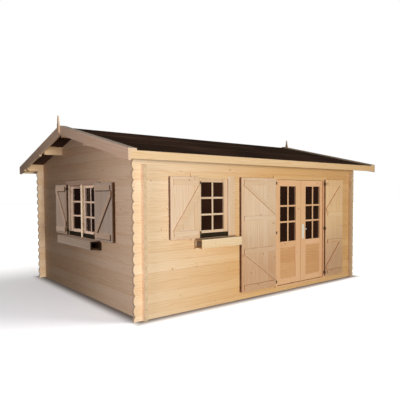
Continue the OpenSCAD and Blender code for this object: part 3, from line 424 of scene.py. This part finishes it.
# The post between the left sashes: a cream copy, brighter than the wall's shaded timber, painted light
lit_cream_post_pine = pine("cream_pine_window_post_painted_lit", Z, Y, "#E9D3B2", "#DABC92")
door_upright = pine("planed_pine_door_stiles", Z, X, DOOR_LIGHT, DOOR_DARK)
door_cross = pine("planed_pine_door_rails", X, Z, DOOR_LIGHT, DOOR_DARK)
door_panel = pine("planed_pine_door_panels", X, Z, "#D09E6F", "#B98253")
casing_head = {
    "front": pine("planed_pine_casing_head_front", X, Z, LOG_LIGHT, LOG_DARK, fade=TO_HONEY_AND_SHADE),
    "left": pale_cross["left"]}
floor_pine = pine("planed_pine_floor_boards", X, Y, LOG_LIGHT, LOG_DARK)
# Sawn ends of boards: the same pine, darker and browner where the grain is cut across; the left wall's are
# darker still, painted shade
sawn_ends = {
    "front": pine("sawn_pine_board_ends_front", Z, Y, "#A37C49", "#8C6636"),
    "left": pine("pine_board_ends_left_shaded", Z, X, "#6B5439", "#56412A")}

for names, material in (
        (("front_wall_left", "front_wall_under_window", "front_wall_pier", "front_wall_right",
          "front_wall_head", "front_wall_sill_log", "back_wall"), long_log_pine),
        (("left_wall_front", "left_wall_back", "left_wall_under_window", "left_gable", "right_wall",
          "right_gable"), side_log_pine),
        (("front_plate", "back_plate", "ridge_purlin", "front_purlin", "back_purlin", "front_fascia",
          "back_fascia"), beam_pine),
        (("left_barge_front", "left_barge_back", "right_barge_front", "right_barge_back"), barge_pine),
        (("left_finial", "right_finial"), finial_pine),
        (("floor_joists",), joist_pine),
        (("roof_front", "roof_back"), felt),
        (("left_door_glass", "right_door_glass", "front_window_glass", "left_window_glass"), glass),
        (("weather_bars",), dark_bronze),
        (("door_handle",), satin_nickel),
        (("shutter_pins", "door_hinges", "left_door_hinges", "right_door_hinges",
          "left_door_shutter_straps", "right_door_shutter_straps", "front_window_shutter_straps",
          "near_window_shutter_straps", "far_window_shutter_straps"), hinge_iron)):
    for name in names:
        nodes[name].data.materials.clear()
        nodes[name].data.materials.append(material)


# Members are told apart in their material by a chance number up to this
HIGHEST_NUMBER = 500.0


def timber():
    """An empty bmesh whose faces carry the number of the member that they belong to."""
    bm = bmesh.new()
    bm.faces.layers.float.new("member")
    return bm


def number_faces(bm, made, finish):
    """Gives the faces on the given vertices one member number and one material."""
    number = draw.uniform(0.0, HIGHEST_NUMBER)
    layer = bm.faces.layers.float["member"]
    for face in {f for v in made for f in v.link_faces}:
        face[layer] = number
        face.material_index = finish


def member(bm, lo, hi, finish):
    """A squared timber between two corners; finish is the place of its timber in the piece's list."""
    made = bmesh.ops.create_cube(bm, size=1.0)["verts"]
    lo, hi = Vector(lo), Vector(hi)
    bmesh.ops.scale(bm, vec=hi - lo, verts=made)
    bmesh.ops.translate(bm, vec=(lo + hi) / 2, verts=made)
    number_faces(bm, made, finish)


def cut_board(bm, outline, front, back):
    """A board of a given outline in u and w, from its front face to its back."""
    made = [bm.verts.new((u, front, w)) for u, w in outline]
    face = bm.faces.new(made)
    grown = bmesh.ops.extrude_face_region(bm, geom=[face])["geom"]
    far = [v for v in grown if isinstance(v, bmesh.types.BMVert)]
    bmesh.ops.translate(bm, vec=(0.0, back - front, 0.0), verts=far)
    bmesh.ops.recalc_face_normals(bm, faces=list({f for v in made + far for f in v.link_faces}))
    number_faces(bm, made + far, 0)


def finish_piece(name, bm, body, materials, wall=FRONT, arris=2 * MM, steps=2, replaced=()):
    """Turns a bmesh into a piece on its wall with eased edges, which rides on a body."""
    bmesh.ops.transform(bm, matrix=wall, verts=bm.verts)
    mesh = bpy.data.meshes.new(name)
    bm.to_mesh(mesh)
    bm.free()
    for material in materials:
        mesh.materials.append(material)
    piece = bpy.data.objects.new(name, mesh)
    scene.collection.objects.link(piece)
    ease = piece.modifiers.new("eased_edges", "BEVEL")
    ease.width = arris
    ease.segments = steps
    ease.limit_method = "ANGLE"
    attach(piece, body)
    if replaced:
        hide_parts(*replaced)


def wall_box(node, wall):
    """Lowest and highest corner of a node in its wall's own frame."""
    lo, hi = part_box(node)
    if wall is LEFT:
        return Vector((-hi.y, lo.x, lo.z)), Vector((-lo.y, hi.x, hi.z))
    return lo, hi


def glazing_grid(bm, u0, u1, w0, w1, v, row):
    """Glazing bars before the glass: one upright, and two rails that leave outer rows of a given height."""
    middle = (u0 + u1) / 2
    member(bm, (middle - BAR_W / 2, v, w0), (middle + BAR_W / 2, v + BAR_T, w1), 0)
    for w in (w0 + row, w1 - row - BAR_W):
        member(bm, (u0, v + BAR_RAIL_IN, w), (middle - BAR_W / 2, v + BAR_T, w + BAR_W), 1)
        member(bm, (middle + BAR_W / 2, v + BAR_RAIL_IN, w), (u1, v + BAR_T, w + BAR_W), 1)


def bead_ring(bm, u0, u1, w0, w1, v0, v1):
    """Beads round an opening, butted square at its corners."""
    member(bm, (u0, v0, w0), (u0 + BEAD, v1, w1), 0)
    member(bm, (u1 - BEAD, v0, w0), (u1, v1, w1), 0)
    for w in (w0, w1 - BEAD):
        member(bm, (u0 + BEAD, v0, w), (u1 - BEAD, v1, w + BEAD), 1)


def window_sash(name, node, wall, side, beside=None):
    """A casement sash of two stiles and two rails with its bars; side names its timber.

    A sash that stands open is drawn shut, past the post from the sash that it is beside, and then turned
    inwards about its hinged edge.
    """
    lo, hi = wall_box(beside or node, wall)
    if beside:
        past = Vector((SASH_W + POST_W, 0.0, 0.0))
        lo, hi = lo - past, hi - past
    bm = timber()
    u0, u1 = lo.x + SASH_STILE, hi.x - SASH_STILE
    w0, w1 = lo.z + SASH_FOOT, hi.z - SASH_TOP
    member(bm, lo, (u0, hi.y, hi.z), 0)
    member(bm, (u1, lo.y, lo.z), hi, 0)
    member(bm, (u0, lo.y, lo.z), (u1, hi.y, w0), 1)
    member(bm, (u0, lo.y, w1), (u1, hi.y, hi.z), 1)
    glazing_grid(bm, u0, u1, w0, w1, lo.y + BAR_SET, (w1 - w0 - 2 * BAR_W) / 3)
    if beside:
        bmesh.ops.rotate(bm, cent=(lo.x, hi.y, 0.0), matrix=Matrix.Rotation(SASH_OPEN, 3, "Z"),
                         verts=bm.verts)
    finish_piece(name, bm, "cabin", [pale_upright[side], pale_cross[side]], wall,
                 replaced=(node,))


def window_frame(name, node, wall, side, post=None):
    """A window's lining and its flat casing, jointed from boards; post names the post between two sashes."""
    lo, hi = wall_box(node, wall)
    bm = timber()
    u0, u1 = lo.x + CASING_W, hi.x - CASING_W
    w1 = hi.z - CASING_HEAD
    face = hi.y - LOG_T - CASING_T
    back = face + CASING_T
    member(bm, (lo.x, face, lo.z), (u0, back, w1), 0)
    member(bm, (u1, face, lo.z), (hi.x, back, w1), 0)
    member(bm, (lo.x, face, w1), (hi.x, back, hi.z), 2)
    member(bm, (u0, face, lo.z), (u0 + FRAME_T, hi.y, w1), 0)
    member(bm, (u1 - FRAME_T, face, lo.z), (u1, hi.y, w1), 0)
    member(bm, (u0 + FRAME_T, face, lo.z), (u1 - FRAME_T, hi.y, lo.z + FRAME_T), 1)
    member(bm, (u0 + FRAME_T, face, w1 - FRAME_HEAD), (u1 - FRAME_T, hi.y, w1), 2)
    if post:
        # Post between two sashes, with a cover strip that laps the shut one
        post_bm = timber()
        middle = (lo.x + hi.x) / 2
        edge = middle + POST_W / 2
        foot, head = lo.z + FRAME_T, w1 - FRAME_HEAD
        member(post_bm, (middle - POST_W / 2, lo.y, foot), (edge, hi.y, head), 0)
        member(post_bm, (edge, lo.y, foot), (edge + COVER_W, lo.y + COVER_T, head), 0)
        finish_piece(post, post_bm, "cabin", [lit_cream_post_pine], wall)
    finish_piece(name, bm, "cabin",
                 [pale_upright[side], pale_cross[side], casing_head[side]], wall, replaced=(node,))


def door_leaf(name, node, hinge_side):
    """A glazed leaf over a panel of boards; hinge_side is -1 for the left leaf and 1 for the right."""
    lo, hi = wall_box(node, FRONT)
    bm = timber()
    left, right = (STILE_OUT, STILE_IN) if hinge_side < 0 else (STILE_IN, STILE_OUT)
    u0, u1 = lo.x + left, hi.x - right
    glass_top = hi.z - LEAF_TOP
    glass_foot = glass_top - LEAF_GLASS_H
    panel_top = glass_foot - LEAF_LOCK
    panel_foot = lo.z + LEAF_FOOT
    member(bm, lo, (u0, hi.y, hi.z), 0)
    member(bm, (u1, lo.y, lo.z), hi, 0)
    for w0, w1 in ((glass_top, hi.z), (panel_top, glass_foot), (lo.z, panel_foot)):
        member(bm, (u0, lo.y, w0), (u1, hi.y, w1), 1)
    glazing_grid(bm, u0, u1, glass_foot, glass_top, lo.y + BAR_SET, PANE_H)
    step = (panel_top - panel_foot) / PANEL_BOARDS
    for i in range(PANEL_BOARDS):
        w = panel_foot + i * step
        member(bm, (u0, lo.y + PANEL_IN, w), (u1, hi.y - PANEL_IN, w + step), 2)
    bead_ring(bm, u0, u1, panel_foot, panel_top, lo.y + BEAD_IN, lo.y + PANEL_IN)
    bead_ring(bm, u0, u1, panel_foot, panel_top, hi.y - PANEL_IN, hi.y - BEAD_IN)
    finish_piece(name, bm, node, [door_upright, door_cross, door_panel], replaced=(node,))


def door_lining():
    """Jambs, head, threshold and head trim of the doorway."""
    lo, hi = wall_box("door_frame", FRONT)
    bm = timber()
    u0, u1 = lo.x + CASING_W / 2, hi.x - CASING_W / 2
    trim_foot = hi.z - CASING_HEAD - FRAME_T
    head_top = hi.z - CASING_HEAD
    member(bm, (u0, lo.y, lo.z), (u0 + JAMB_T, hi.y, trim_foot), 0)
    member(bm, (u1 - JAMB_T, lo.y, lo.z), (u1, hi.y, trim_foot), 0)
    member(bm, (u0 + JAMB_T, lo.y, lo.z), (u1 - JAMB_T, hi.y, lo.z + FRAME_T), 1)
    member(bm, (u0, lo.y + CASING_T, trim_foot), (u1, hi.y, head_top), 1)
    member(bm, (lo.x, lo.y, trim_foot), (hi.x, lo.y + CASING_T, hi.z), 2)
    finish_piece("door_lining_timber", bm, "cabin",
                 [door_upright, door_cross, casing_head["front"]], replaced=("door_frame",))


def board_shutter(node, wall, side, rails, braces, hinge_at_high_u):
    """A ledged and braced shutter: boards with V joints, and rails and braces on their outer face.

    rails are heights of the rails' middles from the foot. A brace is two rails, whether it rises to the
    hinge, and whether it lies on the hinge side of the line between its corners.
    """
    lo, hi = wall_box(node, wall)
    back = hi.y
    face = back - SHUTTER_BOARD_T
    count = round((hi.x - lo.x) / SHUTTER_BOARD_W)
    step = (hi.x - lo.x) / count
    bm = timber()
    for i in range(count):
        member(bm, (lo.x + i * step, face, lo.z), (lo.x + (i + 1) * step, back, hi.z), 0)
    finish_piece(node + "_boards", bm, node, [pale_upright[side]], wall,
                 arris=SHUTTER_ARRIS, steps=1, replaced=(node,))
    bm = timber()
    u0, u1 = lo.x + RAIL_IN, hi.x - RAIL_IN
    for rail in rails:
        member(bm, (u0, lo.y, lo.z + rail - RAIL_H / 2), (u1, face, lo.z + rail + RAIL_H / 2), 0)
    way = 1 if hinge_at_high_u else -1
    free, hinge = (lo.x + BRACE_IN, hi.x - BRACE_IN)[::way]
    for low, high, rises, hinge_side in braces:
        foot, head = (lo.z + low + RAIL_H / 2, lo.z + high - RAIL_H / 2)
        start, end = (free + way * BRACE_TIP, hinge - way * BRACE_TIP)
        edge, shift = hinge, way * BRACE_W
        if not hinge_side:
            start, end, edge, shift = end, start, free, -shift
        w0, w1 = (foot, head) if rises == hinge_side else (head, foot)
        meets = w0 + (edge - start - shift) / (end - start) * (w1 - w0)
        cut_board(bm, ((start, w0), (start + shift, w0), (edge, meets), (edge, w1), (end, w1)), lo.y, face)
    finish_piece(node + "_ledges", bm, node, [pale_cross[side]], wall)


def window_box(node, wall, side):
    """A box of boards under a window, open at its ends, with the cleat that carries it."""
    lo, hi = wall_box(node, wall)
    foot = lo.z + BOX_T
    notch = hi.y - CASING_T
    bm = timber()
    member(bm, (lo.x, lo.y, hi.z - BOX_T), (hi.x, notch, hi.z), 0)
    member(bm, (lo.x, lo.y, foot + BOX_T), (hi.x, lo.y + BOX_T, hi.z - BOX_T), 0)
    member(bm, (lo.x, lo.y, foot), (hi.x, hi.y - CLEAT_T, foot + BOX_T), 0)
    member(bm, (lo.x, hi.y - CLEAT_T, lo.z), (hi.x, hi.y, hi.z - CLEAT_DOWN), 0)
    # The boards' sawn ends are the faces that look along the wall
    bm.normal_update()
    for face in bm.faces:
        face.material_index = 1 if abs(face.normal.x) > END_FACING else 0
    finish_piece(node + "_boards", bm, "cabin", [box_board[side], sawn_ends[side]], wall,
                 replaced=(node,))


def roof_felt(way):
    """Rolls of felt laid along one roof side, each lapping the one below; way is -1 for the front."""
    node = "roof_front" if way < 0 else "roof_back"
    lo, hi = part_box(node)
    run = (hi.y - lo.y) / math.cos(ROOF_PITCH)
    step = run / FELT_ROLLS
    width = hi.x - lo.x - 2 * (VERGE_W + FELT_T)
    bm = timber()
    for i in range(FELT_ROLLS):
        foot = i * step
        head = min(run, (i + 1) * step + FELT_LAP)
        made = bmesh.ops.create_cube(bm, size=1.0)["verts"]
        bmesh.ops.scale(bm, vec=(width, head - foot, FELT_T), verts=made)
        bmesh.ops.translate(bm, vec=(0.0, (foot + head) / 2, FELT_T / 2), verts=made)
        low_edge = [v for v in made if v.co.y < (foot + head) / 2]
        bmesh.ops.translate(bm, vec=(0.0, 0.0, FELT_T if i else 0.0), verts=low_edge)
    edge_y = way * max(abs(lo.y), abs(hi.y))
    edge_z = hi.z - (hi.y - lo.y) * math.tan(ROOF_PITCH)
    slope = Matrix.Rotation(ROOF_PITCH, 4, "X")
    turn = Matrix.Identity(4) if way < 0 else Matrix.Rotation(math.pi, 4, "Z")
    place = Matrix.Translation((0.0, edge_y, edge_z)) @ turn @ slope
    finish_piece("felt_rolls_front" if way < 0 else "felt_rolls_back", bm, "cabin", [felt],
                 place, arris=FELT_ARRIS, steps=1)


def floor_planks():
    """Tongued floor boards along the cabin, with eased joints."""
    lo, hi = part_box("floor_boards")
    count = round((hi.y - lo.y) / FLOOR_BOARD_W)
    step = (hi.y - lo.y) / count
    bm = timber()
    for i in range(count):
        member(bm, (lo.x, lo.y + i * step, lo.z), (hi.x, lo.y + (i + 1) * step, hi.z), 0)
    finish_piece("floor_planks", bm, "cabin", [floor_pine], steps=1,
                 replaced=("floor_boards",))


window_frame("front_window_casing", "front_window_frame", FRONT, "front")
window_frame("left_window_casing", "left_window_frame", LEFT, "left", post="left_window_post")
window_sash("front_sash_timber", "front_window_sash", FRONT, "front")
window_sash("near_sash_timber", "left_window_near_sash", LEFT, "left")
window_sash("far_sash_timber", "left_window_far_sash", LEFT, "left", beside="left_window_near_sash")
door_lining()
door_leaf("left_leaf_timber", "left_door", -1)
door_leaf("right_leaf_timber", "right_door", 1)

DOOR_SHUTTER_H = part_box("left_door_shutter")[1].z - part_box("left_door_shutter")[0].z
WINDOW_SHUTTER_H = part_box("front_window_shutter")[1].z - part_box("front_window_shutter")[0].z
door_rails = [RAIL_H, *(place * DOOR_SHUTTER_H for place in RAIL_PLACES), DOOR_SHUTTER_H - RAIL_H]
door_braces = [(door_rails[0], door_rails[1], False, True), (door_rails[2], door_rails[3], False, True)]
window_rails = [RAIL_H, WINDOW_SHUTTER_H - RAIL_H]
board_shutter("left_door_shutter", FRONT, "front", door_rails, door_braces, hinge_at_high_u=True)
board_shutter("right_door_shutter", FRONT, "right", door_rails, door_braces, hinge_at_high_u=False)
board_shutter("front_window_shutter", FRONT, "front", window_rails, [(*window_rails, True, True)],
              hinge_at_high_u=True)
board_shutter("near_window_shutter", LEFT, "left", window_rails, [(*window_rails, False, False)],
              hinge_at_high_u=False)
board_shutter("far_window_shutter", LEFT, "left", window_rails, [(*window_rails, False, True)],
              hinge_at_high_u=True)
window_box("front_window_box", FRONT, "front")
window_box("left_window_box", LEFT, "left")
roof_felt(-1)
roof_felt(1)
floor_planks()

# Studio floor: smooth matt board, plain and pale, with a faint glow of its own as in an evenly lit cove,
# and the soft dark of a close shadow along the walls' foot
FLOOR_HALF = 60.0
FLOOR_UNDER = 1 * MM
CLOSE_SHADOW = (20 * MM, 260 * MM)
FLOOR_GLOW = 0.4
studio, tree, output = new_material("pale_studio_floor")
axes = add(tree, "ShaderNodeSeparateXYZ", {0: add(tree, "ShaderNodeTexCoord").outputs["Object"]}).outputs
outside = []
for axis, half in ((X, WALL_HALF_L), (Y, WALL_HALF_W)):
    away = add(tree, "ShaderNodeMath", {0: axes[axis]}, operation="ABSOLUTE").outputs[0]
    outside.append(add(tree, "ShaderNodeMath", {0: away, 1: half}, operation="SUBTRACT").outputs[0])
past = add(tree, "ShaderNodeMath", {0: outside[0], 1: outside[1]}, operation="MAXIMUM").outputs[0]
clear = add(tree, "ShaderNodeMapRange", {"Value": past, "From Min": CLOSE_SHADOW[0],
                                         "From Max": CLOSE_SHADOW[1]},
            interpolation_type="SMOOTHSTEP").outputs[0]
pale = add(tree, "ShaderNodeMix", {0: clear, 6: linear("#6E655E"), 7: linear("#F4F3F1")},
           data_type="RGBA").outputs[2]
surface = add(tree, "ShaderNodeBsdfPrincipled", {"Base Color": pale, "Roughness": 0.9,
                                                "Specular IOR Level": 0.1,
                                                "Emission Color": pale, "Emission Strength": FLOOR_GLOW})
tree.links.new(surface.outputs[0], output.inputs["Surface"])
bm = bmesh.new()
bmesh.ops.create_grid(bm, x_segments=1, y_segments=1, size=FLOOR_HALF)
bmesh.ops.translate(bm, vec=(0.0, 0.0, -FLOOR_UNDER), verts=bm.verts)
mesh = bpy.data.meshes.new("studio_floor")
bm.to_mesh(mesh)
bm.free()
mesh.materials.append(studio)
floor = bpy.data.objects.new("studio_floor", mesh)
scene.collection.objects.link(floor)
# The floor takes shadows, but lights nothing, isn't mirrored and lets the low key through
floor.visible_diffuse = False
floor.visible_glossy = False
floor.visible_shadow = False

# Pale surround: white behind the cabin and to its right, dim and cool before the left wall, dark below
WHITE_SIDE = (0.63, 0.78, 0.0)
WHITE_EDGE = (0.6, 0.85)
HORIZON = (-0.12, -0.02)
world = bpy.data.worlds.new("pale_surround")
world.use_nodes = True
sky = world.node_tree
sky.nodes.clear()
heading = add(sky, "ShaderNodeTexCoord").outputs["Generated"]
behind = add(sky, "ShaderNodeVectorMath", {0: heading, 1: WHITE_SIDE}, operation="DOT_PRODUCT")
lit = add(sky, "ShaderNodeMapRange", {"Value": behind.outputs["Value"], "From Min": WHITE_EDGE[0],
                                      "From Max": WHITE_EDGE[1]},
          interpolation_type="SMOOTHSTEP").outputs[0]
surround = add(sky, "ShaderNodeMix", {0: lit, 6: linear("#505256"), 7: linear("#FFFFFF")},
               data_type="RGBA").outputs[2]
height = add(sky, "ShaderNodeSeparateXYZ", {0: heading}).outputs[Z]
above = add(sky, "ShaderNodeMapRange", {"Value": height, "From Min": HORIZON[0],
                                        "From Max": HORIZON[1]}).outputs[0]
surround = add(sky, "ShaderNodeMix", {0: above, 6: linear("#383532"), 7: surround},
               data_type="RGBA").outputs[2]
back = add(sky, "ShaderNodeBackground", {"Color": surround, "Strength": 1.0})
add(sky, "ShaderNodeOutputWorld", {"Surface": back.outputs[0]})
scene.world = world


def lamp(name, kind, colour, energy, place, target, **settings):
    """A studio lamp that shines from a place to a target."""
    light = bpy.data.lights.new(name, kind)
    light.color = linear(colour)[:3]
    light.energy = energy
    for key, value in settings.items():
        setattr(light, key, value)
    holder = bpy.data.objects.new(name, light)
    aim = Vector(target) - Vector(place)
    holder.matrix_world = Matrix.Translation(place) @ aim.to_track_quat("-Z", "Y").to_matrix().to_4x4()
    holder.visible_glossy = False
    scene.collection.objects.link(holder)
    return holder


def light_group(name, lamps, pieces, state):
    """Lets some lamps light given pieces alone (INCLUDE) or all but them (EXCLUDE)."""
    group = bpy.data.collections.new(name)
    for piece in pieces:
        group.objects.link(piece)
    for entry in group.collection_objects:
        entry.light_linking.link_state = state
    for holder in lamps:
        holder.light_linking.receiver_collection = group


# Studio light: a far, low key before the front, which fades to the right, a fill by the left wall's near
# end, a side lamp for the shutters, box and sashes of the left wall, and one for the floor
MIDDLE = (0.0, 0.0, 0.0)
KEY_AT, KEY_AIM = (-3.4, -30.0, 0.2), (-2.6, -1.9, 2.2)
FILL_AT, FILL_AIM = (-6.6, -3.3, 1.6), (-2.3, -1.2, 1.0)
SIDE_AT = (-6.0, 0.8, 3.6)
FLOOR_LAMP_AT = (8.0, -3.0, 6.0)
key = lamp("key", "SPOT", "#F8FFFF", 40000.0, KEY_AT, KEY_AIM, spot_size=math.radians(42),
           spot_blend=1.0, shadow_soft_size=4.0)
fill = lamp("fill", "AREA", "#F2EEFF", 146.0, FILL_AT, FILL_AIM, size=1.6)
side = lamp("side", "SUN", "#EAEDFF", 2.4, SIDE_AT, MIDDLE, angle=math.radians(14))
floor_lamp = lamp("floor_lamp", "SUN", "#FFFFFF", 4.4, FLOOR_LAMP_AT, MIDDLE, angle=math.radians(55))

standing_out = [bpy.data.objects[name] for name in (
    "near_window_shutter_boards", "near_window_shutter_ledges", "far_window_shutter_boards",
    "far_window_shutter_ledges", "left_window_box_boards")]
standing_out += [nodes["near_window_shutter_straps"], nodes["far_window_shutter_straps"]]
left_sashes = [bpy.data.objects[name] for name in (
    "left_window_post", "near_sash_timber", "far_sash_timber")]
light_group("floor_alone", [floor_lamp], [floor], "INCLUDE")
light_group("left_wall_pieces", [side], standing_out + left_sashes, "INCLUDE")
light_group("out_of_the_key", [key, fill], standing_out, "EXCLUDE")

# Camera at the photograph's viewpoint, in the 400 by 400 frame
FRAME_PX = 400
FOCAL_PX = 427.8
CENTRE_PX = (213.1, 211.6)
SENSOR = 36.0
FAR_CLIP = 200.0
CAMERA_AT = (-5.066, -6.790, 1.651)
YAW, DOWN, ROLL = math.radians(39.04), math.radians(2.46), math.radians(-0.27)
camera_data = bpy.data.cameras.new("view")
camera_data.sensor_width = SENSOR
camera_data.lens = FOCAL_PX / FRAME_PX * SENSOR
camera_data.shift_x = (FRAME_PX / 2 - CENTRE_PX[0]) / FRAME_PX
camera_data.shift_y = (CENTRE_PX[1] - FRAME_PX / 2) / FRAME_PX
camera_data.clip_end = FAR_CLIP
camera = bpy.data.objects.new("view", camera_data)
ahead = Vector((math.sin(YAW) * math.cos(DOWN), math.cos(YAW) * math.cos(DOWN), -math.sin(DOWN)))
turn = ahead.to_track_quat("-Z", "Y").to_matrix().to_4x4() @ Matrix.Rotation(ROLL, 4, "Z")
camera.matrix_world = Matrix.Translation(CAMERA_AT) @ turn
scene.collection.objects.link(camera)
scene.camera = camera
scene.view_settings.view_transform = "Standard"
